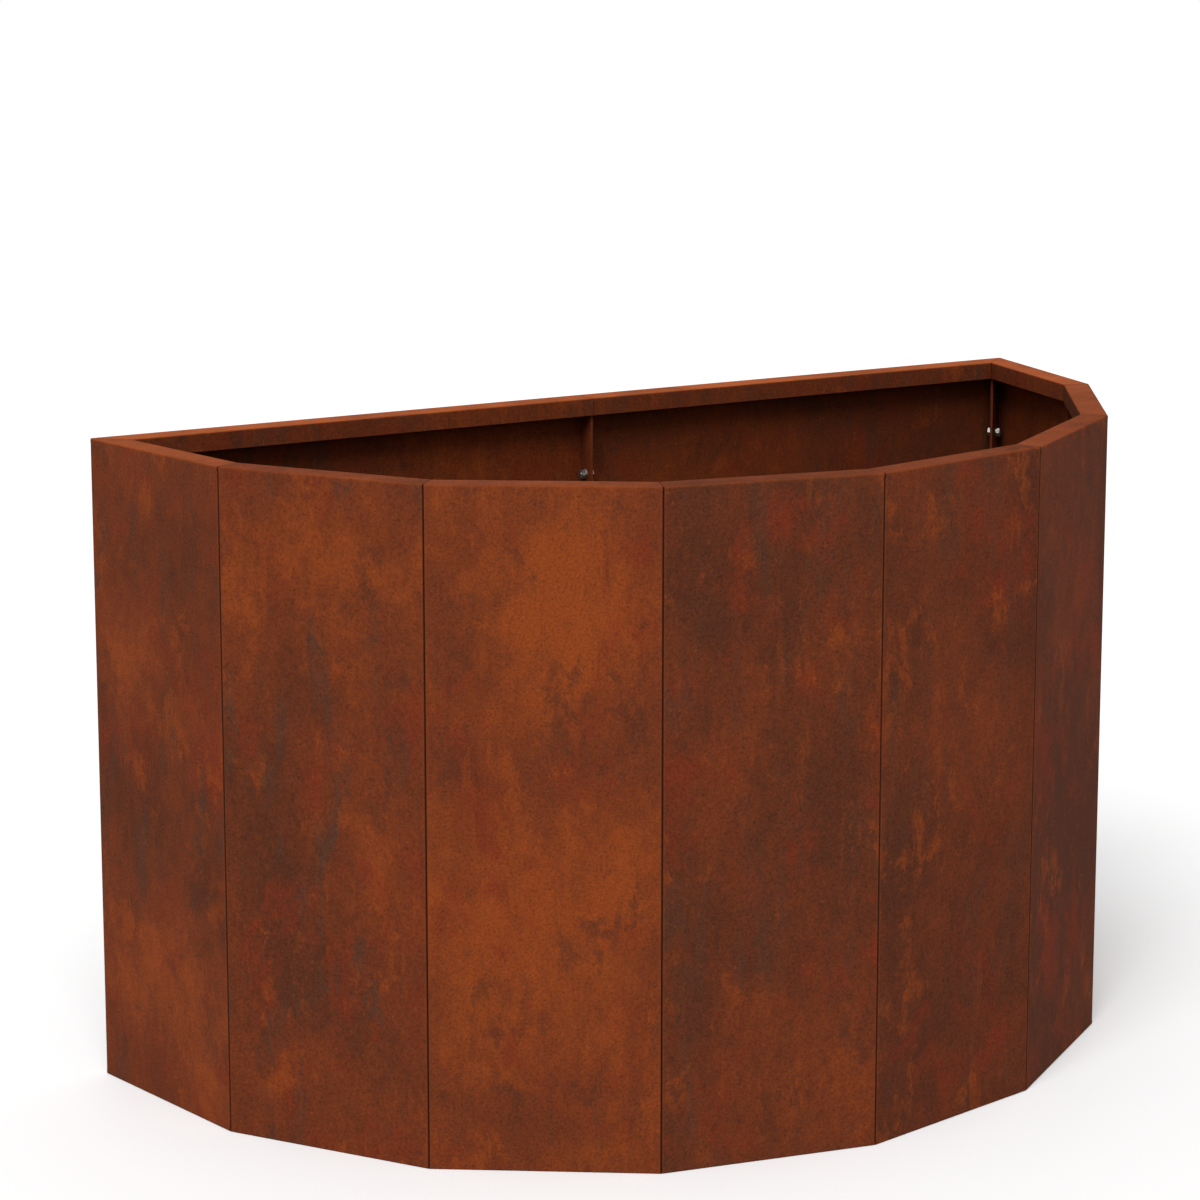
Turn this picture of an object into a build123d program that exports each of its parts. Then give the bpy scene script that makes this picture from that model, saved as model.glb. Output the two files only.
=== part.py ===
# Half-round floor planter, folded from weathering steel sheet and bolted together inside.
# Lengths are in millimetres. +Z is up, the round front faces -Y and the flat back faces +Y.
# The origin is on the ground, in the middle of the planter's box.

import math
import os

from build123d import *

os.makedirs("parts", exist_ok=True)

# Overall size
width = 1200
height = 700
panels_per_side = 4

# Sheet and its folds
sheet = 1.5
fold_radius = 0.5
fold_relief = 2.0

# Rim and foot, measured inwards from the outer face of a panel
rim_width = 30.0
lip_depth = 20.0
foot_width = 50.0
mitre_gap = 0.6

# Flanges that join neighbouring panels
lip_clearance = 2.5
bolts_per_seam = 4
lowest_bolt_height = 90.0
highest_bolt_below_rim = 90.0

# M6 bolts, nuts and washers, with clearances on the diameter
bolt_diameter = 6.0
hole_clearance = 1.0
washer_clearance = 0.4
thread_clearance = 0.2
bolt_stickout = 0.8
bolt_tip_chamfer = 0.8
bolt_head_height = 4.0
hexagon_across_flats = 10.0
nut_height = 5.0
washer_diameter = 12.0
washer_thickness = 1.6

# Flat bars across the middle
tie_height = 30.0
tie_thickness = 4.0
tie_end_gap = 5.0
tie_end_radius = 6.0
lower_tie_row = 1
upper_tie_row = 2

# Bottom plates
drop_in_clearance = 1.0
base_lap = 20.0
joggle_clearance = 2.5
drain_diameter = 12.0
inner_drain_ring = 200.0
outer_drain_ring = 420.0
drains_on_inner_ring = 2
drains_on_outer_ring = 4

# Outline
up = Vector(0, 0, 1)
front_panels = 2 * panels_per_side
radius = width / 2
depth = radius
arc_centre = Vector(0, depth / 2, 0)
left_end = Vector(-radius, 0, 0)
turn_per_panel = 180 / front_panels

# Corners run counterclockwise from the left end of the back, and the last is the back seam.
corners = [
    arc_centre + left_end.rotate(Axis.Z, index * turn_per_panel)
    for index in range(front_panels + 1)
]
corners.append(arc_centre)
corner_count = len(corners)
left_corner = 0
front_corner = panels_per_side
right_corner = front_panels
back_corner = front_panels + 1
front_seams = range(left_corner + 1, right_corner)
corner_seams = [left_corner, right_corner]
back_seams = [back_corner]

# Heights
rows = range(bolts_per_seam)
row_spacing = (height - lowest_bolt_height - highest_bolt_below_rim) / (bolts_per_seam - 1)
bolt_heights = [lowest_bolt_height + row * row_spacing for row in rows]
outer_fold = sheet + fold_radius
flange_bottom = outer_fold + fold_relief
flange_top = height - outer_fold - fold_relief

# Depths from the outer face of a panel
flange_depth = rim_width - sheet - lip_clearance
hole_depth = (sheet + flange_depth) / 2
plate_edge_depth = rim_width + drop_in_clearance

bolt_hole_radius = (bolt_diameter + hole_clearance) / 2
hole_cut = 2 * sheet


def along(index):
    """Direction of the panel that starts at a corner."""
    start = corners[index % corner_count]
    end = corners[(index + 1) % corner_count]
    return (end - start).normalized()


def inward(index):
    """Direction from that panel's outer face into the planter."""
    return up.cross(along(index))


def seam_plane(index):
    """Mitre plane at a corner: x runs into the planter, y up and z towards the next panel."""
    into = (inward(index - 1) + inward(index)).normalized()
    return Plane(origin=corners[index % corner_count], x_dir=into, z_dir=into.cross(up))


def seam_reach(index, depth_from_face):
    """Distance along the mitre plane to a depth that is measured square to the panels."""
    return depth_from_face / seam_plane(index).x_dir.dot(inward(index))


def seam_point(index, depth_from_face):
    """Point on the ground where the mitre plane meets that depth."""
    plane = seam_plane(index)
    return plane.origin + plane.x_dir * seam_reach(index, depth_from_face)


def bolt_point(index, row):
    """Centre of a bolt on the mitre plane."""
    return seam_reach(index, hole_depth), bolt_heights[row]


def tip_plane(index):
    """Plane across a sharp corner, level with the outside of its two seam folds."""
    plane = seam_plane(index)
    half_angle = math.asin(plane.x_dir.dot(inward(index)))
    setback = outer_fold / math.tan(half_angle / 2) - outer_fold
    return Plane(origin=plane.origin + plane.x_dir * setback, z_dir=plane.x_dir)


# A panel: rim, foot, and a wall with a seam flange on each long edge
def make_panel(index, label):
    next_index = index + 1
    start = corners[index]
    end = corners[next_index % corner_count]
    length = (end - start).length
    start_seam = seam_plane(index)
    end_seam = seam_plane(next_index)
    section = Plane(origin=start, x_dir=inward(index), z_dir=along(index))

    with BuildPart() as panel:
        with BuildSketch(section):
            with BuildLine():
                FilletPolyline(
                    (0, flange_top),
                    (0, height),
                    (rim_width, height),
                    (rim_width, height - lip_depth),
                    radius=outer_fold,
                )
                offset(amount=sheet, side=Side.RIGHT)
            make_face()
            with BuildLine():
                FilletPolyline((0, flange_bottom), (0, 0), (foot_width, 0), radius=outer_fold)
                offset(amount=sheet, side=Side.LEFT)
            make_face()
        extrude(amount=length)
        split(bisect_by=start_seam.offset(mitre_gap / 2), keep=Keep.TOP)
        split(bisect_by=end_seam.offset(-mitre_gap / 2), keep=Keep.BOTTOM)
        for seam in (index, next_index):
            if seam % corner_count in corner_seams:
                split(bisect_by=tip_plane(seam), keep=Keep.TOP)

        with BuildSketch(Plane.XY.offset(flange_bottom)):
            with BuildLine():
                FilletPolyline(
                    seam_point(index, flange_depth),
                    start,
                    end,
                    seam_point(next_index, flange_depth),
                    radius=outer_fold,
                )
                offset(amount=sheet, side=Side.LEFT)
            make_face()
        extrude(amount=flange_top - flange_bottom)

        with BuildSketch(start_seam):
            with Locations(*[bolt_point(index, row) for row in rows]):
                Circle(bolt_hole_radius)
        extrude(amount=hole_cut, mode=Mode.SUBTRACT)
        with BuildSketch(end_seam):
            with Locations(*[bolt_point(next_index, row) for row in rows]):
                Circle(bolt_hole_radius)
        extrude(amount=-hole_cut, mode=Mode.SUBTRACT)

    panel.part.label = label
    export_step(panel.part, f"parts/{label}.step")


for number in range(front_panels):
    make_panel(number, f"front_panel_{number + 1}")
make_panel(right_corner, "back_panel_right")
make_panel(back_corner, "back_panel_left")


# Bottom plates: they drop in through the rim, lie on the feet, and the right one laps the left
base_bottom = sheet
base_top = base_bottom + sheet
left_plate_end = base_lap / 2
ramp_top = left_plate_end + joggle_clearance
outline = [seam_point(index, plate_edge_depth) for index in range(right_corner + 1)]
left_plate_underside = [(-radius, base_bottom), (left_plate_end, base_bottom)]
right_plate_underside = [
    (-base_lap / 2, base_top),
    (ramp_top, base_top),
    (ramp_top + sheet, base_bottom),
    (radius, base_bottom),
]
drain_rings = [
    (inner_drain_ring, drains_on_inner_ring),
    (outer_drain_ring, drains_on_outer_ring),
]


def drain_points(side):
    """Drain holes on rings round the middle of the back, spread over one side's quarter."""
    points = []
    for ring_radius, count in drain_rings:
        for number in range(count):
            spoke = Vector(side * ring_radius, 0, 0)
            points.append(arc_centre + spoke.rotate(Axis.Z, -side * 90 * (number + 0.5) / count))
    return points


def make_base_plate(underside, side, label):
    with BuildPart() as base_plate:
        with BuildSketch(Plane.XZ):
            with BuildLine():
                Polyline(*underside)
                offset(amount=sheet, side=Side.LEFT)
            make_face()
        extrude(amount=depth, both=True)
        with BuildSketch(Plane.XY):
            with BuildLine():
                Polyline(*outline, close=True)
            make_face()
        extrude(amount=height, mode=Mode.INTERSECT)
        with BuildSketch(Plane.XY):
            with Locations(*drain_points(side)):
                Circle(drain_diameter / 2)
        extrude(amount=height, mode=Mode.SUBTRACT)
    base_plate.part.label = label
    export_step(base_plate.part, f"parts/{label}.step")


make_base_plate(left_plate_underside, -1, "base_plate_left")
make_base_plate(right_plate_underside, 1, "base_plate_right")


# Cross ties: flat bars from the middle front seam to the back seam, on the right of both
tie_face = seam_plane(front_corner).offset(sheet)
tie_rows = [lower_tie_row, upper_tie_row]
tied_seams = [front_corner, back_corner]


def make_tie(row, label):
    first_hole = seam_reach(front_corner, hole_depth)
    last_hole = depth - seam_reach(back_corner, hole_depth)
    with BuildPart() as tie:
        with BuildSketch(tie_face):
            with Locations((depth / 2, bolt_heights[row])):
                RectangleRounded(depth - 2 * tie_end_gap, tie_height, tie_end_radius)
            with Locations((first_hole, bolt_heights[row]), (last_hole, bolt_heights[row])):
                Circle(bolt_hole_radius, mode=Mode.SUBTRACT)
        extrude(amount=tie_thickness)
    tie.part.label = label
    export_step(tie.part, f"parts/{label}.step")


make_tie(lower_tie_row, "cross_tie_lower")
make_tie(upper_tie_row, "cross_tie_upper")


# One bolt, nut and washer of each kind, standing on z = 0 with the thread along +z
def make_bolt(clamped_thickness):
    shank_length = clamped_thickness + 2 * washer_thickness + nut_height + bolt_stickout
    with BuildPart() as bolt:
        with BuildSketch(Plane.XY):
            RegularPolygon(hexagon_across_flats / 2, 6, major_radius=False)
        extrude(amount=-bolt_head_height)
        with BuildSketch(Plane.XY):
            Circle(bolt_diameter / 2)
        extrude(amount=shank_length)
        tip = bolt.edges().filter_by(GeomType.CIRCLE).sort_by(Axis.Z)[-1]
        chamfer(tip, bolt_tip_chamfer)
    return bolt.part


seam_bolt = make_bolt(2 * sheet)
tie_bolt = make_bolt(2 * sheet + tie_thickness)

with BuildPart() as nut:
    with BuildSketch(Plane.XY):
        RegularPolygon(hexagon_across_flats / 2, 6, major_radius=False)
        Circle((bolt_diameter + thread_clearance) / 2, mode=Mode.SUBTRACT)
    extrude(amount=nut_height)

with BuildPart() as washer:
    with BuildSketch(Plane.XY):
        Circle(washer_diameter / 2)
        Circle((bolt_diameter + washer_clearance) / 2, mode=Mode.SUBTRACT)
    extrude(amount=washer_thickness)


def bolted_points(seams):
    """Seam and row of every bolt on these seams."""
    return [(index, row) for index in seams for row in rows]


def holds_tie(index, row):
    return index in tied_seams and row in tie_rows


def head_face(index, row):
    """Where the clamped stack starts, along the mitre plane's normal."""
    tie_under_head = holds_tie(index, row) and index == back_corner
    return -sheet - (tie_thickness if tie_under_head else 0)


def nut_face(index, row):
    """Where the clamped stack ends."""
    tie_under_nut = holds_tie(index, row) and index == front_corner
    return sheet + (tie_thickness if tie_under_nut else 0)


def place(shape, index, row, height_on_normal):
    """Add a fastener to the group being built."""
    with Locations(seam_plane(index).offset(height_on_normal)):
        with Locations(bolt_point(index, row)):
            add(shape)


def export_fasteners(group, seams):
    with BuildPart() as bolts:
        for index, row in bolted_points(seams):
            if not holds_tie(index, row):
                place(seam_bolt, index, row, head_face(index, row) - washer_thickness)
    bolts.part.label = f"{group}_bolts"
    export_step(bolts.part, f"parts/{group}_bolts.step")

    with BuildPart() as nuts:
        for index, row in bolted_points(seams):
            place(nut.part, index, row, nut_face(index, row) + washer_thickness)
    nuts.part.label = f"{group}_nuts"
    export_step(nuts.part, f"parts/{group}_nuts.step")

    with BuildPart() as washers:
        for index, row in bolted_points(seams):
            place(washer.part, index, row, head_face(index, row) - washer_thickness)
            place(washer.part, index, row, nut_face(index, row))
    washers.part.label = f"{group}_washers"
    export_step(washers.part, f"parts/{group}_washers.step")


export_fasteners("front_seam", front_seams)
export_fasteners("corner_seam", corner_seams)
export_fasteners("back_seam", back_seams)

with BuildPart() as tie_bolts:
    for index, row in bolted_points(tied_seams):
        if holds_tie(index, row):
            place(tie_bolt, index, row, head_face(index, row) - washer_thickness)
tie_bolts.part.label = "tie_bolts"
export_step(tie_bolts.part, "parts/tie_bolts.step")
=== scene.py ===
import math

import bpy
from bpy.props import FloatProperty, FloatVectorProperty, PointerProperty
from bpy.types import Operator, Panel, PropertyGroup
from mathutils import Matrix, Vector


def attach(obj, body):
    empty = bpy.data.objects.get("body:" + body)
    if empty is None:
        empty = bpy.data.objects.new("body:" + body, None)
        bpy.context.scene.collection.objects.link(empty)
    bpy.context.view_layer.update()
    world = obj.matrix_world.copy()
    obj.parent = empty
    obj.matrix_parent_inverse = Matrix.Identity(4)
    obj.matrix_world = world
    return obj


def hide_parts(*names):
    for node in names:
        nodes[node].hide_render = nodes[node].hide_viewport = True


bl_info = {
    "name": "Half-round Steel Planter",
    "version": (1, 0, 0),
    "blender": (4, 5, 0),
    "location": "3D View > Sidebar > Planter",
    "description": "Weathered finish, fasteners and studio for the half-round steel planter",
    "category": "Object",
}

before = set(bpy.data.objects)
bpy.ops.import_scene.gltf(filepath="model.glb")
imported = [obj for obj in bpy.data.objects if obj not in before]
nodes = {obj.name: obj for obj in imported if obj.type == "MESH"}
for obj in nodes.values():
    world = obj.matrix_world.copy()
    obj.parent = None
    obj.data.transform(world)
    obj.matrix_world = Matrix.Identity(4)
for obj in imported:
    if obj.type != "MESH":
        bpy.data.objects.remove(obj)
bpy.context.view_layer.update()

# The planter's outline, which every pattern and fastener follows
RADIUS = 0.6
ARC_CENTRE = Vector((0, 0.3, 0))
HEIGHT = 0.7
FRONT_PANELS = 8
CORNERS = [
    ARC_CENTRE + Matrix.Rotation(math.pi * n / FRONT_PANELS, 3, "Z") @ Vector((-RADIUS, 0, 0))
    for n in range(FRONT_PANELS + 1)
] + [ARC_CENTRE]
BACK_CORNER = FRONT_PANELS + 1
FRONT_CORNER = FRONT_PANELS // 2
UP = Vector((0, 0, 1))
PANELS = [f"front_panel_{n + 1}" for n in range(FRONT_PANELS)] + [
    "back_panel_right",
    "back_panel_left",
]


def corner(index):
    return CORNERS[index % len(CORNERS)]


def panel_length(index):
    return (corner(index + 1) - corner(index)).length


def panel_heading(index):
    """Angle of the panel that starts at a corner, seen from above."""
    along = corner(index + 1) - corner(index)
    return math.atan2(along.y, along.x)


def inward(index):
    along = (corner(index + 1) - corner(index)).normalized()
    return UP.cross(along)


# Where the seams and their bolts are
SHEET = 0.0015
FLANGE_DEPTH = 0.026
HOLE_DEPTH = (SHEET + FLANGE_DEPTH) / 2
BOLTS_PER_SEAM = 4
LOWEST_BOLT = 0.09
BOLT_SPAN = 0.52
BOLT_HEIGHTS = [
    LOWEST_BOLT + row * BOLT_SPAN / (BOLTS_PER_SEAM - 1) for row in range(BOLTS_PER_SEAM)
]
TIE_THICKNESS = 0.004
TIE_ROWS = (1, 2)
SEAMS = {"front_seam": range(1, FRONT_PANELS), "corner_seam": (0, FRONT_PANELS),
         "back_seam": (BACK_CORNER,)}


def holds_tie(seam, row):
    return seam in (FRONT_CORNER, BACK_CORNER) and row in TIE_ROWS


def head_face(seam, row):
    """Where the bolted sheets start, along the seam's normal."""
    return -SHEET - (TIE_THICKNESS if holds_tie(seam, row) and seam == BACK_CORNER else 0)


def nut_face(seam, row):
    """Where they end."""
    return SHEET + (TIE_THICKNESS if holds_tie(seam, row) and seam == FRONT_CORNER else 0)


def on_bolt_line(seam, row, offset):
    """Place and turn of a fastener that stands on a bolt's line, this far along it."""
    into = (inward(seam - 1) + inward(seam)).normalized()
    towards = into.cross(UP)
    place = corner(seam) + into * (HOLE_DEPTH / into.dot(inward(seam)))
    place = place + UP * BOLT_HEIGHTS[row] + towards * offset
    turn = Matrix((into, UP, towards)).transposed().to_4x4()
    return Matrix.Translation(place) @ turn


# How dark each panel is as a whole, how orange the top of its rim is, how strong its slate
# streaks are, and the large patches on it. The orange on the rim's top is partly rust and partly
# painted light: high where the rim is lit, low where it lay in shade. A patch is its colour, the
# distance along the panel, the height, half its width, half its height and its strength.
PANEL_LOOKS = {
    "front_panel_1": (0.00, 0.55, 0.65, [
        ("brown", 0.08, 0.33, 0.16, 0.16, 0.8),
        ("brown", 0.21, 0.26, 0.05, 0.16, 0.9),
        ("brown", 0.14, 0.60, 0.10, 0.08, 0.6),
        ("orange", 0.06, 0.47, 0.07, 0.10, 0.9),
        ("orange", 0.12, 0.14, 0.14, 0.13, 0.9),
        ("orange", 0.20, 0.05, 0.06, 0.10, 0.8),
    ]),
    "front_panel_2": (0.02, 0.20, 0.85, [
        ("brown", 0.06, 0.40, 0.10, 0.20, 0.8),
        ("brown", 0.10, 0.18, 0.16, 0.16, 0.9),
        ("orange", 0.14, 0.61, 0.16, 0.10, 0.9),
        ("orange", 0.02, 0.55, 0.04, 0.12, 0.9),
        ("orange", 0.20, 0.30, 0.06, 0.12, 0.5),
        ("orange", 0.09, 0.10, 0.04, 0.06, 0.8),
    ]),
    "front_panel_3": (-0.05, 0.15, 0.60, [
        ("orange", 0.14, 0.58, 0.15, 0.16, 0.9),
        ("orange", 0.09, 0.24, 0.17, 0.17, 0.9),
        ("brown", 0.17, 0.42, 0.10, 0.10, 0.5),
        ("brown", 0.03, 0.60, 0.06, 0.14, 0.6),
        ("brown", 0.12, 0.05, 0.18, 0.06, 0.5),
    ]),
    "front_panel_4": (0.08, 0.15, 0.45, [
        ("brown", 0.12, 0.62, 0.20, 0.14, 0.6),
        ("brown", 0.17, 0.40, 0.10, 0.18, 0.5),
        ("orange", 0.08, 0.42, 0.10, 0.09, 0.6),
        ("orange", 0.14, 0.08, 0.20, 0.14, 0.8),
        ("brown", 0.06, 0.22, 0.10, 0.10, 0.6),
    ]),
    "front_panel_5": (0.085, 0.20, 0.35, [
        ("brown", 0.20, 0.56, 0.10, 0.20, 0.7),
        ("orange", 0.14, 0.44, 0.10, 0.14, 0.8),
        ("brown", 0.03, 0.30, 0.06, 0.14, 0.6),
        ("brown", 0.10, 0.12, 0.18, 0.12, 0.4),
    ]),
    "front_panel_6": (0.12, 0.35, 0.20, [
        ("brown", 0.10, 0.25, 0.18, 0.24, 0.7),
        ("orange", 0.14, 0.58, 0.10, 0.12, 0.4),
    ]),
    "front_panel_7": (0.04, 0.60, 0.35, [
        ("brown", 0.15, 0.48, 0.14, 0.18, 0.8),
        ("orange", 0.07, 0.20, 0.10, 0.16, 0.7),
    ]),
    "front_panel_8": (0.00, 1.00, 0.50, [
        ("orange", 0.10, 0.60, 0.16, 0.12, 0.7),
        ("brown", 0.12, 0.22, 0.15, 0.20, 0.7),
    ]),
    "back_panel_right": (0.03, 1.00, 0.60, [
        ("brown", 0.20, 0.50, 0.20, 0.20, 0.8),
        ("orange", 0.42, 0.52, 0.22, 0.18, 0.8),
        ("orange", 0.15, 0.15, 0.20, 0.16, 0.7),
        ("brown", 0.48, 0.18, 0.18, 0.20, 0.7),
    ]),
    "back_panel_left": (0.00, 1.00, 0.60, [
        ("orange", 0.16, 0.55, 0.20, 0.20, 0.8),
        ("brown", 0.40, 0.58, 0.20, 0.14, 0.7),
        ("brown", 0.16, 0.18, 0.20, 0.18, 0.8),
        ("orange", 0.44, 0.26, 0.18, 0.20, 0.7),
    ]),
}


# How far a full patch, the top of a rim and the extra orange on that top move the age of the
# rust;
# the extra orange is partly painted light, set per panel higher where the rim is lit
PATCH_AGE = 0.15
RIM_AGE = 0.02
RIM_WASH_AND_LIGHT_AGE = 0.15
# Within this distance two points are taken to be in one place
TOUCH = 0.00001
# How far a cutting tool stands out of the piece that it cuts
PAST = 0.001
# Darkness, slate and patches of the bottom plates and ties
PLAIN_LOOK = (0.06, 0.6, [])
# Studio
FLOOR_SIZE = 40
SENSOR_WIDTH = 36
FAR_CLIP = 100


class RustSettings(PropertyGroup):
    """Colours and sizes of the weathered surface."""

    mid: FloatVectorProperty(
        name="Rust", description="Colour of most of the surface", subtype="COLOR",
        default=(0.120, 0.0255, 0.0078), min=0, max=1)
    orange: FloatVectorProperty(
        name="Young Rust", description="Colour of the bright patches", subtype="COLOR",
        default=(0.200, 0.0400, 0.0072), min=0, max=1)
    brown: FloatVectorProperty(
        name="Old Rust", description="Colour of the dark brown patches", subtype="COLOR",
        default=(0.066, 0.0190, 0.0088), min=0, max=1)
    slate: FloatVectorProperty(
        name="Slate", description="Colour of the grey-brown streaks", subtype="COLOR",
        default=(0.060, 0.0265, 0.0155), min=0, max=1)
    red: FloatVectorProperty(
        name="Red Rust", description="Colour of the red-brown areas", subtype="COLOR",
        default=(0.135, 0.0205, 0.0072), min=0, max=1)
    speck: FloatVectorProperty(
        name="Specks", description="Colour of the smallest bright specks", subtype="COLOR",
        default=(0.250, 0.0600, 0.0110), min=0, max=1)
    # Pores are the rust's own; the same colour also paints the shade in the groove between two
    # panels
    pore_and_seam_shade: FloatVectorProperty(
        name="Pores", description="Colour of the pores and of the dirt in the seams",
        subtype="COLOR", default=(0.026, 0.0090, 0.0055), min=0, max=1)
    # Rim colour: partly the rust on top of the rim, partly painted light, used strongest where
    # the rim is lit
    rim: FloatVectorProperty(
        name="Rim", description="Colour that the rain leaves on top of the rim",
        subtype="COLOR", default=(0.34, 0.075, 0.0150), min=0, max=1)
    cloud_size: FloatProperty(
        name="Cloud Size", description="Size of the mottling", subtype="DISTANCE",
        default=0.11, min=0.01, max=1)
    grain_size: FloatProperty(
        name="Grain Size", description="Size of the smallest grains", subtype="DISTANCE",
        default=0.0028, min=0.0005, max=0.02)
    grain_depth: FloatProperty(
        name="Grain Depth", description="Height of the grain", subtype="DISTANCE",
        default=0.00035, min=0, max=0.002)
    # Painted highlight: a paler line along the folds at the seams and along the top edge
    fold_highlight_width: FloatProperty(
        name="Fold Width", description="Width of the paler line along a fold",
        subtype="DISTANCE", default=0.0035, min=0, max=0.02)


class FastenerSettings(PropertyGroup):
    """Sizes of the M6 bolts, nuts and washers."""

    across_flats: FloatProperty(
        name="Across Flats", description="Width of the heads and nuts", subtype="DISTANCE",
        default=0.010, min=0.001)
    head_height: FloatProperty(
        name="Head Height", description="Height of a bolt's head", subtype="DISTANCE",
        default=0.004, min=0.0005)
    nut_height: FloatProperty(
        name="Nut Height", description="Height of a nut", subtype="DISTANCE",
        default=0.005, min=0.0005)
    shank: FloatProperty(
        name="Shank", description="Diameter of a bolt's shank", subtype="DISTANCE",
        default=0.006, min=0.0005)
    nut_bore: FloatProperty(
        name="Nut Bore", description="Diameter of a nut's bore", subtype="DISTANCE",
        default=0.0062, min=0.0005)
    washer: FloatProperty(
        name="Washer", description="Outer diameter of a washer", subtype="DISTANCE",
        default=0.012, min=0.001)
    washer_bore: FloatProperty(
        name="Washer Bore", description="Inner diameter of a washer", subtype="DISTANCE",
        default=0.0064, min=0.0005)
    washer_thickness: FloatProperty(
        name="Washer Thickness", description="Thickness of a washer", subtype="DISTANCE",
        default=0.0016, min=0.0002)
    stickout: FloatProperty(
        name="Stickout", description="How far a bolt's tip stands out of its nut",
        subtype="DISTANCE", default=0.0008, min=0)
    edge: FloatProperty(
        name="Edge", description="Width of the broken edges", subtype="DISTANCE",
        default=0.00025, min=0.00005)


class StudioSettings(PropertyGroup):
    """Camera, lights and floor."""

    azimuth: FloatProperty(
        name="Azimuth", description="Where the camera stands round the back's middle",
        subtype="ANGLE", default=math.radians(-30.2))
    distance: FloatProperty(
        name="Distance", description="From the back's middle to the camera, seen from above",
        subtype="DISTANCE", default=3.729, min=0.5)
    camera_height: FloatProperty(
        name="Height", description="Height of the camera above the ground",
        subtype="DISTANCE", default=1.268, min=0)
    turn: FloatProperty(
        name="Turn", description="How far the camera looks past the back's middle",
        subtype="ANGLE", default=math.radians(-0.345))
    tilt: FloatProperty(
        name="Tilt", description="How far the camera looks down", subtype="ANGLE",
        default=math.radians(9.73))
    lens: FloatProperty(
        name="Lens", description="Focal length", subtype="DISTANCE_CAMERA", default=98.9, min=10)
    rise: FloatProperty(
        name="Shift", description="Vertical shift of the frame", default=-0.12)
    sky_strength: FloatProperty(
        name="Sky Strength", description="Strength of the even light from all round",
        default=0.6, min=0)
    key_azimuth: FloatProperty(
        name="Key Azimuth", description="Where the key light comes from, seen from above",
        subtype="ANGLE", default=math.radians(-42))
    key_height: FloatProperty(
        name="Key Height", description="How high the key light stands", subtype="ANGLE",
        default=math.radians(52))
    key_strength: FloatProperty(
        name="Key Strength", description="Strength of the key light", default=2.5, min=0)
    key_softness: FloatProperty(
        name="Key Softness", description="How wide the key light is", subtype="ANGLE",
        default=math.radians(40))
    floor_colour: FloatVectorProperty(
        name="Floor", description="Colour of the floor", subtype="COLOR",
        default=(0.90, 0.90, 0.90), min=0, max=1)


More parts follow.
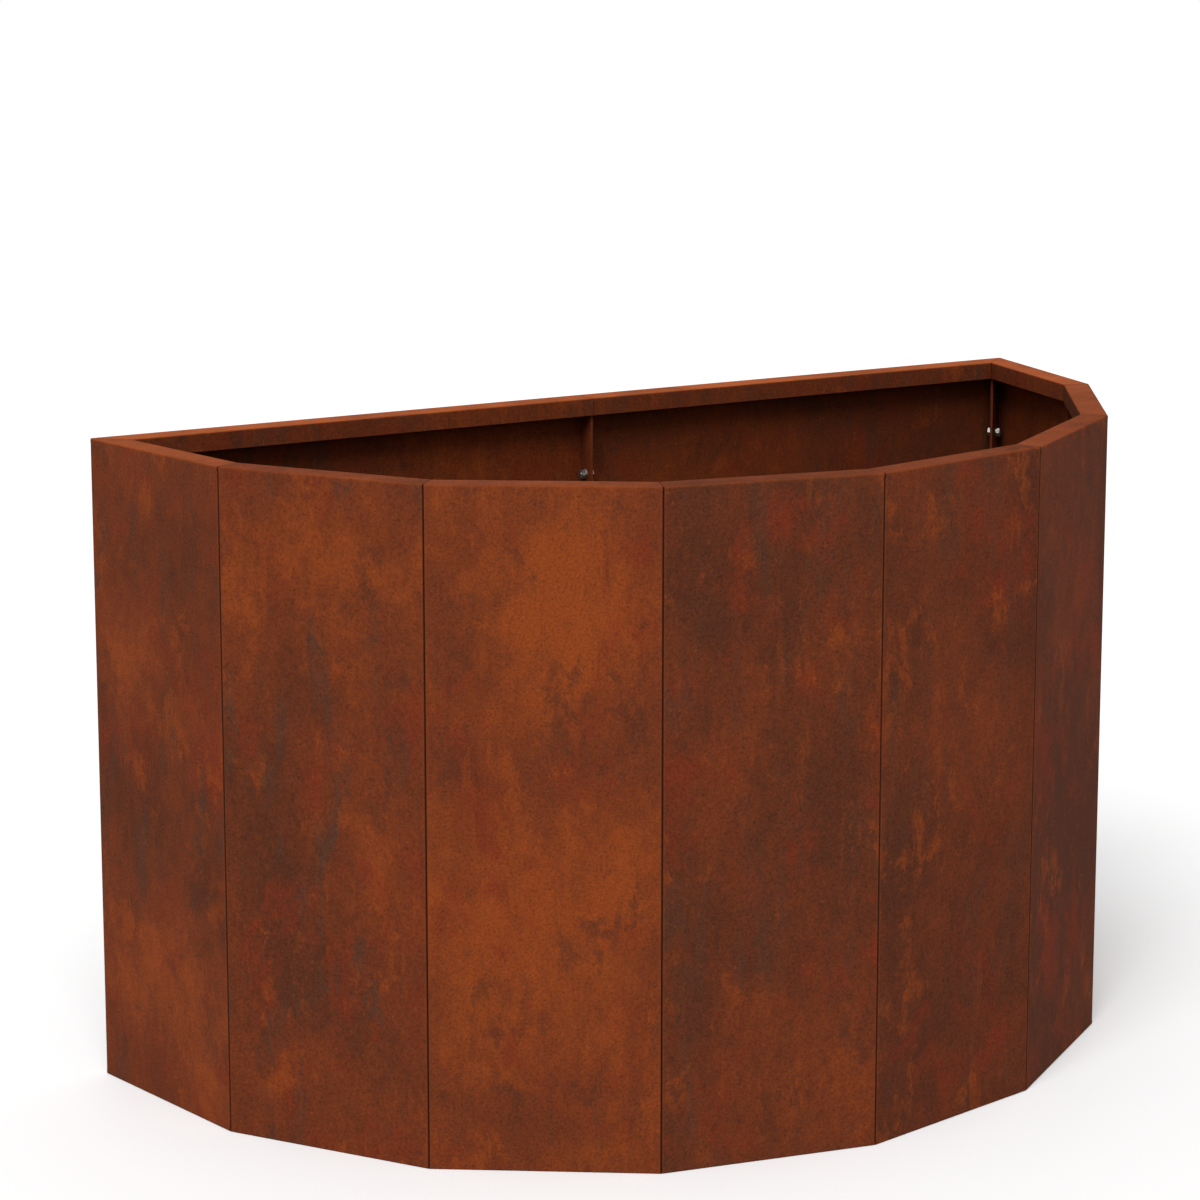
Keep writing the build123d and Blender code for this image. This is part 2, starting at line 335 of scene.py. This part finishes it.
class NodeChain:
    """Adds shader nodes to one material and links them."""

    def __init__(self, name):
        self.material = bpy.data.materials.new(name)
        self.material.use_nodes = True
        self.tree = self.material.node_tree
        self.shader = self.tree.nodes["Principled BSDF"]
        self.coordinates = self.tree.nodes.new("ShaderNodeTexCoord")

    def put(self, socket, value):
        if isinstance(value, bpy.types.NodeSocket):
            self.tree.links.new(value, socket)
        elif hasattr(socket.default_value, "__len__") and len(socket.default_value) == 4:
            socket.default_value = (*value[:3], 1)
        else:
            socket.default_value = value

    def mapping(self, vector, location=(0, 0, 0), turn=0.0, scale=(1, 1, 1)):
        node = self.tree.nodes.new("ShaderNodeMapping")
        self.put(node.inputs["Vector"], vector)
        node.inputs["Location"].default_value = location
        node.inputs["Rotation"].default_value = (0, 0, turn)
        node.inputs["Scale"].default_value = scale
        return node.outputs[0]

    def noise(self, vector, size, detail=5, roughness=0.6, distortion=0.0, colour=False):
        node = self.tree.nodes.new("ShaderNodeTexNoise")
        self.put(node.inputs["Vector"], vector)
        node.inputs["Scale"].default_value = 1 / size
        node.inputs["Detail"].default_value = detail
        node.inputs["Roughness"].default_value = roughness
        node.inputs["Distortion"].default_value = distortion
        return node.outputs["Color" if colour else "Fac"]

    def ramp(self, value, low, high, start=0.0, end=1.0):
        """Maps low..high to start..end, smoothly, and holds outside."""
        node = self.tree.nodes.new("ShaderNodeMapRange")
        node.interpolation_type = "SMOOTHSTEP"
        for name, number in zip(("Value", "From Min", "From Max", "To Min", "To Max"),
                                (value, low, high, start, end)):
            self.put(node.inputs[name], number)
        return node.outputs[0]

    def math(self, operation, a, b=0.0, clamp=False):
        node = self.tree.nodes.new("ShaderNodeMath")
        node.operation = operation
        node.use_clamp = clamp
        self.put(node.inputs[0], a)
        self.put(node.inputs[1], b)
        return node.outputs[0]

    def total(self, *weighted):
        """Sum of values, each times its weight."""
        result = 0.0
        for value, weight in weighted:
            result = self.math("ADD", self.math("MULTIPLY", value, weight), result)
        return result

    def grey(self, value):
        node = self.tree.nodes.new("ShaderNodeCombineColor")
        for socket in node.inputs:
            self.put(socket, value)
        return node.outputs[0]

    def vector_add(self, a, b, amount=1.0):
        node = self.tree.nodes.new("ShaderNodeVectorMath")
        node.operation = "MULTIPLY_ADD"
        self.put(node.inputs[0], b)
        node.inputs[1].default_value = (amount, amount, amount)
        self.put(node.inputs[2], a)
        return node.outputs[0]

    def mix(self, factor, a, b, blend="MIX"):
        node = self.tree.nodes.new("ShaderNodeMix")
        node.data_type = "RGBA"
        node.blend_type = blend
        self.put(node.inputs["Factor"], factor)
        self.put(node.inputs["A"], a)
        self.put(node.inputs["B"], b)
        return node.outputs["Result"]

    def separate(self, vector):
        node = self.tree.nodes.new("ShaderNodeSeparateXYZ")
        self.put(node.inputs[0], vector)
        return node.outputs

    def patch(self, vector, along, height, half_width, half_height):
        """One where a patch is, fading to nothing at its rim."""
        node = self.tree.nodes.new("ShaderNodeTexGradient")
        node.gradient_type = "SPHERICAL"
        scale = (1 / half_width, 0, 1 / half_height)
        self.put(node.inputs["Vector"], self.mapping(
            vector, (-along / half_width, 0, -height / half_height), 0, scale))
        return node.outputs["Fac"]

    def bump(self, height, distance, strength=1.0, normal=None):
        node = self.tree.nodes.new("ShaderNodeBump")
        self.put(node.inputs["Height"], height)
        node.inputs["Distance"].default_value = distance
        node.inputs["Strength"].default_value = strength
        if normal is not None:
            self.put(node.inputs["Normal"], normal)
        return node.outputs[0]


def rusted_steel(name, origin, heading, seed, darkness, slate, patches, folds=None, rim_wash_and_light=0.0):
    """Weathered steel whose pattern follows one sheet.

    folds is the length and the height of a folded panel, and the last argument how orange its
    rim's top is, partly rust and partly painted light.
    """
    rust = bpy.context.scene.planter_rust
    chain = NodeChain(name)
    turned = Matrix.Rotation(-heading, 3, "Z") @ origin
    place = chain.mapping(chain.coordinates.outputs["Object"], -turned, -heading)
    pattern = chain.mapping(place, seed)

    # Wavy outlines for everything large
    wander = chain.noise(pattern, 0.05, 7, 0.7, colour=True)
    centred = chain.mapping(wander, (-0.5, -0.5, -0.5))
    loose_place = chain.vector_add(place, centred, 0.17)

    tall = chain.mapping(pattern, scale=(1, 1, 0.6))
    clouds = chain.noise(tall, rust.cloud_size, 13, 0.7, 0.35)
    blots = chain.noise(tall, 0.024, 10, 0.76, 0.25)
    runs = chain.noise(chain.mapping(pattern, scale=(46, 46, 5.5)), 1, 7, 0.7, 0.3)
    flecks = chain.noise(pattern, 0.008, 7, 0.8)
    grain = chain.noise(pattern, rust.grain_size, 4, 0.8)

    # Old rust is high in age and young rust is low
    age = chain.total((clouds, 0.45), (blots, 0.35), (flecks, 0.2))
    age = chain.math("ADD", age, darkness)
    for kind, along, height, half_width, half_height, strength in patches:
        share = chain.patch(loose_place, along, height, half_width, half_height)
        change = PATCH_AGE * strength * (1 if kind == "brown" else -1)
        age = chain.math("ADD", age, chain.math("MULTIPLY", share, change))
    if folds:
        length, top = folds
        along, inwards, height = chain.separate(place)
        # The rim's top: younger rust, and younger still by a per-panel amount that is painted
        # light and shade
        on_top = chain.ramp(height, top - 0.0012, top - 0.0002)
        age = chain.total((on_top, -RIM_AGE - RIM_WASH_AND_LIGHT_AGE * rim_wash_and_light), (age, 1.0))
    colour = chain.mix(chain.ramp(age, 0.47, 0.70, 0, 0.95), rust.mid, rust.brown)
    colour = chain.mix(chain.ramp(age, 0.51, 0.30, 0, 0.95), colour, rust.orange)

    # Red areas, and grey-brown streaks in the old rust
    stretched = chain.mapping(pattern, (5.1, 0.7, 2.9), 0, (1, 1, 0.7))
    reds = chain.noise(stretched, 0.08, 9, 0.72, 0.4)
    colour = chain.mix(chain.ramp(reds, 0.50, 0.66, 0, 0.75), colour, rust.red)
    stretched = chain.mapping(pattern, (8.3, 4.1, 1.7), 0, (1, 1, 0.22))
    greys = chain.noise(stretched, 0.03, 9, 0.72, 0.3)
    grey_share = chain.math(
        "MULTIPLY", chain.ramp(greys, 0.50, 0.64), chain.ramp(age, 0.44, 0.58))
    colour = chain.mix(chain.math("MULTIPLY", grey_share, slate), colour, rust.slate)

    # Smears with ragged edges
    stretched = chain.mapping(pattern, (3.3, 1.9, 7.1), 0, (1, 1, 0.55))
    smears = chain.noise(stretched, 0.036, 12, 0.78, 0.25)
    gathered = chain.noise(pattern, 0.12, 4, 0.6)
    bright = chain.math(
        "MULTIPLY", chain.ramp(smears, 0.515, 0.60), chain.ramp(gathered, 0.44, 0.60))
    dark = chain.math(
        "MULTIPLY", chain.ramp(smears, 0.485, 0.40), chain.ramp(gathered, 0.56, 0.42))
    colour = chain.mix(chain.math("MULTIPLY", bright, 0.60), colour, rust.orange)
    colour = chain.mix(chain.math("MULTIPLY", dark, 0.60), colour, rust.brown)

    # Run marks down the sheet
    bright_runs = chain.math(
        "MULTIPLY", chain.ramp(runs, 0.55, 0.72, 0, 0.5), chain.ramp(blots, 0.42, 0.58))
    colour = chain.mix(bright_runs, colour, rust.orange)
    colour = chain.mix(chain.ramp(runs, 0.45, 0.28, 0, 0.35), colour, rust.brown)

    # Specks, pores and grain
    colour = chain.mix(chain.ramp(flecks, 0.56, 0.70, 0, 0.45), colour, rust.speck)
    colour = chain.mix(chain.ramp(grain, 0.42, 0.26, 0, 0.65), colour, rust.pore_and_seam_shade)
    tone = chain.ramp(grain, 0.30, 0.70, 0.78, 1.22)
    colour = chain.mix(1.0, colour, chain.grey(tone), "MULTIPLY")

    roughness = chain.ramp(age, 0.35, 0.65, 0.72, 0.90)
    if folds:
        # Rim colour on the rim's top: partly rust, partly painted light, strong on panels whose
        # rim is lit and weak where the rim lay in shade
        rim_washed_and_lit = chain.math("MULTIPLY", on_top, chain.ramp(clouds, 0.60, 0.40, 0.5 * rim_wash_and_light, rim_wash_and_light))
        colour = chain.mix(rim_washed_and_lit, colour, rust.rim)
        # Painted highlight on the outer face: a paler orange line along the folds at the seams
        # and along the top edge
        outside = chain.ramp(inwards, 0.004, 0.002)
        from_seam = chain.math("MINIMUM", along, chain.math("SUBTRACT", length, along))
        painted_highlight = chain.math("MAXIMUM", chain.ramp(from_seam, rust.fold_highlight_width, 0.001),
                           chain.ramp(height, top - rust.fold_highlight_width, top))
        painted_highlight = chain.math("MULTIPLY", painted_highlight, outside)
        colour = chain.mix(chain.math("MULTIPLY", painted_highlight, 0.25), colour, rust.orange)
        # Painted shade in the groove where two panels meet, in the pore colour
        painted_seam_shade = chain.math("MULTIPLY", chain.ramp(from_seam, 0.0016, 0.0007), outside)
        colour = chain.mix(chain.math("MULTIPLY", painted_seam_shade, 0.9), colour, rust.pore_and_seam_shade)

    chain.put(chain.shader.inputs["Base Color"], colour)
    chain.put(chain.shader.inputs["Roughness"], roughness)
    chain.shader.inputs["Metallic"].default_value = 0.0
    chain.shader.inputs["Specular IOR Level"].default_value = 0.06
    relief = chain.math(
        "ADD", chain.math("MULTIPLY", grain, 0.6), chain.math("MULTIPLY", flecks, 0.4))
    large = chain.bump(clouds, 0.0012, 0.5)
    chain.put(chain.shader.inputs["Normal"], chain.bump(relief, rust.grain_depth, 0.8, large))
    return chain.material


def plated_steel(name, seed):
    """Zinc-plated steel, dulled, with a little rust run into it."""
    chain = NodeChain(name)
    place = chain.mapping(chain.coordinates.outputs["Object"], seed)
    wear = chain.noise(place, 0.006, 5, 0.65)
    grain = chain.noise(place, 0.0006, 3, 0.6)
    stain = chain.ramp(chain.noise(place, 0.012, 6, 0.7, 0.4), 0.50, 0.68)
    colour = chain.mix(wear, (0.26, 0.25, 0.24), (0.42, 0.41, 0.38))
    colour = chain.mix(chain.math("MULTIPLY", stain, 0.85), colour, (0.12, 0.04, 0.015))
    chain.put(chain.shader.inputs["Base Color"], colour)
    metal = chain.math("SUBTRACT", 1.0, chain.math("MULTIPLY", stain, 0.7))
    chain.put(chain.shader.inputs["Metallic"], metal)
    dullness = chain.total((wear, 1.0), (stain, 0.5))
    chain.put(chain.shader.inputs["Roughness"], chain.ramp(dullness, 0.3, 1.0, 0.34, 0.8))
    chain.put(chain.shader.inputs["Normal"], chain.bump(grain, 0.0001, 0.5))
    return chain.material


def give_material(piece, material):
    piece.data.materials.clear()
    piece.data.materials.append(material)


def choose(piece):
    """Select and activate one piece alone."""
    bpy.ops.object.select_all(action="DESELECT")
    piece.select_set(True)
    bpy.context.view_layer.objects.active = piece


def add_round(radius, low, high, tip=None, sides=32):
    """A cylinder from one height to another, or a cone if its top has another radius."""
    bpy.ops.object.select_all(action="DESELECT")
    bpy.ops.mesh.primitive_cone_add(
        vertices=sides, radius1=radius, radius2=radius if tip is None else tip,
        depth=high - low, location=(0, 0, (low + high) / 2),
        rotation=(0, 0, math.pi / sides if sides == 6 else 0))
    bpy.ops.object.transform_apply(location=True, rotation=True, scale=True)
    return bpy.context.object


def combine(piece, tool, operation):
    choose(piece)
    modifier = piece.modifiers.new("Combine", "BOOLEAN")
    modifier.operation = operation
    modifier.object = tool
    bpy.ops.object.modifier_apply(modifier=modifier.name)
    bpy.data.objects.remove(tool)


def break_edges(piece, width, wanted):
    """Bevel the level edges whose two ends both are where they are wanted."""
    choose(piece)
    bpy.ops.object.mode_set(mode="EDIT")
    bpy.ops.mesh.select_mode(type="EDGE")
    bpy.ops.mesh.select_all(action="DESELECT")
    bpy.ops.object.mode_set(mode="OBJECT")
    points = piece.data.vertices
    for edge in piece.data.edges:
        start, end = (points[number].co for number in edge.vertices)
        level = abs(start.z - end.z) < TOUCH
        edge.select = level and wanted(start) and wanted(end)
    bpy.ops.object.mode_set(mode="EDIT")
    bpy.ops.mesh.bevel(offset=width, segments=2, affect="EDGES", clamp_overlap=True)
    bpy.ops.object.mode_set(mode="OBJECT")


def finish_shape(piece):
    """Merge doubles, point the faces outwards and smooth what is round."""
    choose(piece)
    bpy.ops.object.mode_set(mode="EDIT")
    bpy.ops.mesh.select_all(action="SELECT")
    bpy.ops.mesh.remove_doubles(threshold=0.000002)
    bpy.ops.mesh.normals_make_consistent(inside=False)
    bpy.ops.object.mode_set(mode="OBJECT")
    bpy.ops.object.shade_smooth_by_angle(angle=math.radians(35))
    return piece


def hexagon(across_flats, low, high):
    """A hexagonal prism whose corners are turned off at 30 degrees at its lower end."""
    corner_radius = across_flats / 2 / math.cos(math.pi / 6)
    prism = add_round(corner_radius, low, high, sides=6)
    slope = 1 / math.tan(math.radians(30))
    past = 0.0005
    narrow = across_flats / 2 * 0.96 - past * slope
    wide = narrow + (high - low + 2 * past) * slope
    combine(prism, add_round(narrow, low - past, high + past, wide, 48), "INTERSECT")
    return prism


def model_bolt(clamped):
    """A hexagon bolt that stands on z = 0 with its shank along +z."""
    sizes = bpy.context.scene.planter_fasteners
    length = clamped + 2 * sizes.washer_thickness + sizes.nut_height + sizes.stickout
    radius = sizes.shank / 2
    bolt = hexagon(sizes.across_flats, -sizes.head_height, 0)
    shank = add_round(radius, -sizes.head_height / 2, length)
    break_edges(shank, sizes.stickout, lambda point: point.z > length - TOUCH)
    combine(bolt, shank, "UNION")
    return finish_shape(bolt)


def model_nut():
    """A hexagon nut that stands on z = 0: half a nut, bored, and mirrored at its middle."""
    sizes = bpy.context.scene.planter_fasteners
    half_height = sizes.nut_height / 2
    radius = sizes.nut_bore / 2
    nut = hexagon(sizes.across_flats, 0, half_height)
    combine(nut, add_round(radius, -half_height, 2 * half_height), "DIFFERENCE")
    break_edges(nut, sizes.edge, lambda point: (
        abs(point.xy.length - radius) < TOUCH and point.z < TOUCH))
    choose(nut)
    bpy.ops.object.mode_set(mode="EDIT")
    bpy.ops.mesh.select_mode(type="FACE")
    bpy.ops.mesh.select_all(action="DESELECT")
    bpy.ops.object.mode_set(mode="OBJECT")
    for face in nut.data.polygons:
        face.select = face.center.z > half_height - TOUCH
    bpy.ops.object.mode_set(mode="EDIT")
    bpy.ops.mesh.delete(type="FACE")
    bpy.ops.mesh.select_all(action="SELECT")
    bpy.ops.transform.translate(value=(0, 0, -half_height))
    bpy.ops.object.mode_set(mode="OBJECT")
    modifier = nut.modifiers.new("Other Half", "MIRROR")
    modifier.use_axis = (False, False, True)
    modifier.merge_threshold = TOUCH
    bpy.ops.object.modifier_apply(modifier=modifier.name)
    bpy.ops.transform.translate(value=(0, 0, half_height))
    bpy.ops.object.transform_apply(location=True, rotation=True, scale=True)
    return finish_shape(nut)


def model_washer():
    sizes = bpy.context.scene.planter_fasteners
    radius = sizes.washer / 2
    washer = add_round(radius, 0, sizes.washer_thickness, sides=40)
    bore = add_round(sizes.washer_bore / 2, -PAST, sizes.washer_thickness + PAST, sides=40)
    combine(washer, bore, "DIFFERENCE")
    break_edges(washer, sizes.edge, lambda point: point.xy.length > radius - TOUCH and (
        point.z < TOUCH or point.z > sizes.washer_thickness - TOUCH))
    return finish_shape(washer)


def set_out(model, places, node, material):
    """Copy a model to every place, join the copies and let them stand for their CAD node."""
    copies = []
    for place in places:
        copy = model.copy()
        copy.data = model.data.copy()
        copy.matrix_world = place
        bpy.context.scene.collection.objects.link(copy)
        copies.append(copy)
    choose(copies[0])
    for copy in copies:
        copy.select_set(True)
    bpy.ops.object.transform_apply(location=True, rotation=True, scale=True)
    bpy.ops.object.join()
    piece = bpy.context.object
    piece.name = f"fitted_{node}"
    give_material(piece, material)
    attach(piece, "root")
    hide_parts(node)


def bolt_lines(group):
    return [(seam, row) for seam in SEAMS[group] for row in range(len(BOLT_HEIGHTS))]


class PLANTER_OT_finish_panels(Operator):
    """Give every folded panel its own weathered surface"""

    bl_idname = "planter.finish_panels"
    bl_label = "Finish Panels"

    def execute(self, context):
        for index, name in enumerate(PANELS):
            darkness, rim_wash_and_light, slate, patches = PANEL_LOOKS[name]
            seed = (1.7 * index + 0.3, 2.3 * index, 0.9 * index + 4.1)
            material = rusted_steel(
                f"Weathered Steel {index + 1}", corner(index), panel_heading(index), seed,
                darkness, slate, patches, (panel_length(index), HEIGHT), rim_wash_and_light)
            give_material(nodes[name], material)
        return {"FINISHED"}


class PLANTER_OT_finish_bottom(Operator):
    """Give the bottom plates and the cross ties their weathered surfaces"""

    bl_idname = "planter.finish_bottom"
    bl_label = "Finish Bottom and Ties"

    def execute(self, context):
        plates = ("base_plate_left", "base_plate_right", "cross_tie_lower", "cross_tie_upper")
        for index, name in enumerate(plates):
            material = rusted_steel(
                f"Weathered Steel {name.replace('_', ' ').title()}", Vector((0, 0, 0)), 0,
                (3.1 * index, 7.7, 1.3 * index), *PLAIN_LOOK)
            give_material(nodes[name], material)
        return {"FINISHED"}


class PLANTER_OT_make_bolts(Operator):
    """Model the hexagon bolts, the long ones of the cross ties too"""

    bl_idname = "planter.make_bolts"
    bl_label = "Make Bolts"

    def execute(self, context):
        washer = context.scene.planter_fasteners.washer_thickness
        material = plated_steel("Plated Bolts", (1.1, 0.2, 0.4))
        model = model_bolt(2 * SHEET)
        for group in SEAMS:
            places = [on_bolt_line(seam, row, head_face(seam, row) - washer)
                      for seam, row in bolt_lines(group) if not holds_tie(seam, row)]
            set_out(model, places, f"{group}_bolts", material)
        bpy.data.objects.remove(model)
        model = model_bolt(2 * SHEET + TIE_THICKNESS)
        places = [on_bolt_line(seam, row, head_face(seam, row) - washer)
                  for seam in (FRONT_CORNER, BACK_CORNER) for row in TIE_ROWS]
        set_out(model, places, "tie_bolts", material)
        bpy.data.objects.remove(model)
        return {"FINISHED"}


class PLANTER_OT_make_nuts(Operator):
    """Model the hexagon nuts"""

    bl_idname = "planter.make_nuts"
    bl_label = "Make Nuts"

    def execute(self, context):
        washer = context.scene.planter_fasteners.washer_thickness
        material = plated_steel("Plated Nuts", (0.3, 2.2, 0.9))
        model = model_nut()
        for group in SEAMS:
            places = [on_bolt_line(seam, row, nut_face(seam, row) + washer)
                      for seam, row in bolt_lines(group)]
            set_out(model, places, f"{group}_nuts", material)
        bpy.data.objects.remove(model)
        return {"FINISHED"}


class PLANTER_OT_make_washers(Operator):
    """Model the washers, two to a bolt"""

    bl_idname = "planter.make_washers"
    bl_label = "Make Washers"

    def execute(self, context):
        washer = context.scene.planter_fasteners.washer_thickness
        material = plated_steel("Plated Washers", (2.5, 0.6, 3.3))
        model = model_washer()
        for group in SEAMS:
            places = []
            for seam, row in bolt_lines(group):
                places.append(on_bolt_line(seam, row, head_face(seam, row) - washer))
                places.append(on_bolt_line(seam, row, nut_face(seam, row)))
            set_out(model, places, f"{group}_washers", material)
        bpy.data.objects.remove(model)
        return {"FINISHED"}


class PLANTER_OT_set_studio(Operator):
    """Set the floor, the soft lights and the camera"""

    bl_idname = "planter.set_studio"
    bl_label = "Set Studio"

    def execute(self, context):
        studio = context.scene.planter_studio
        bpy.ops.object.select_all(action="DESELECT")
        bpy.ops.mesh.primitive_plane_add(size=FLOOR_SIZE, location=(0, 0, 0))
        floor = context.object
        floor.name = "floor"
        chain = NodeChain("Floor")
        chain.put(chain.shader.inputs["Base Color"], studio.floor_colour)
        chain.shader.inputs["Roughness"].default_value = 0.8
        give_material(floor, chain.material)

        world = bpy.data.worlds.new("Studio")
        world.use_nodes = True
        tree = world.node_tree
        light_path = tree.nodes.new("ShaderNodeLightPath")
        strength = tree.nodes.new("ShaderNodeMapRange")
        strength.inputs["To Min"].default_value = studio.sky_strength
        strength.inputs["To Max"].default_value = 1.0
        tree.links.new(light_path.outputs["Is Camera Ray"], strength.inputs["Value"])
        tree.links.new(strength.outputs[0], tree.nodes["Background"].inputs["Strength"])
        tree.nodes["Background"].inputs["Color"].default_value = (1, 1, 1, 1)
        context.scene.world = world
        context.scene.view_settings.view_transform = "Standard"

        light = bpy.data.lights.new("Key", "SUN")
        light.energy = studio.key_strength
        light.angle = studio.key_softness
        lamp = bpy.data.objects.new("Key", light)
        lamp.rotation_euler = (math.pi / 2 - studio.key_height, 0, studio.key_azimuth)
        context.scene.collection.objects.link(lamp)

        camera = bpy.data.cameras.new("Camera")
        camera.lens = studio.lens
        camera.sensor_width = SENSOR_WIDTH
        camera.shift_y = studio.rise
        camera.clip_end = FAR_CLIP
        eye = bpy.data.objects.new("Camera", camera)
        side = Vector((math.sin(studio.azimuth), -math.cos(studio.azimuth), 0))
        eye.location = ARC_CENTRE + side * studio.distance + Vector((0, 0, studio.camera_height))
        eye.rotation_euler = (math.pi / 2 - studio.tilt, 0, studio.azimuth + studio.turn)
        context.scene.collection.objects.link(eye)
        context.scene.camera = eye
        return {"FINISHED"}


class PLANTER_PT_sidebar(Panel):
    """Everything that makes the planter's looks, in order"""

    bl_idname = "PLANTER_PT_sidebar"
    bl_label = "Half-round Planter"
    bl_space_type = "VIEW_3D"
    bl_region_type = "UI"
    bl_category = "Planter"

    def draw(self, context):
        scene = context.scene
        for group in (scene.planter_rust, scene.planter_fasteners, scene.planter_studio):
            for name in group.bl_rna.properties.keys():
                if name not in ("rna_type", "name"):
                    self.layout.prop(group, name)
        for operator in OPERATORS:
            self.layout.operator(operator.bl_idname)


OPERATORS = (
    PLANTER_OT_finish_panels,
    PLANTER_OT_finish_bottom,
    PLANTER_OT_make_bolts,
    PLANTER_OT_make_nuts,
    PLANTER_OT_make_washers,
    PLANTER_OT_set_studio,
)
SETTINGS = (RustSettings, FastenerSettings, StudioSettings)


def register():
    for kind in SETTINGS + OPERATORS + (PLANTER_PT_sidebar,):
        bpy.utils.register_class(kind)
    bpy.types.Scene.planter_rust = PointerProperty(type=RustSettings)
    bpy.types.Scene.planter_fasteners = PointerProperty(type=FastenerSettings)
    bpy.types.Scene.planter_studio = PointerProperty(type=StudioSettings)


def unregister():
    del bpy.types.Scene.planter_studio
    del bpy.types.Scene.planter_fasteners
    del bpy.types.Scene.planter_rust
    for kind in reversed(SETTINGS + OPERATORS + (PLANTER_PT_sidebar,)):
        bpy.utils.unregister_class(kind)


def main():
    register()
    bpy.ops.planter.finish_panels()
    bpy.ops.planter.finish_bottom()
    bpy.ops.planter.make_bolts()
    bpy.ops.planter.make_nuts()
    bpy.ops.planter.make_washers()
    bpy.ops.planter.set_studio()


if __name__ == "__main__":
    main()
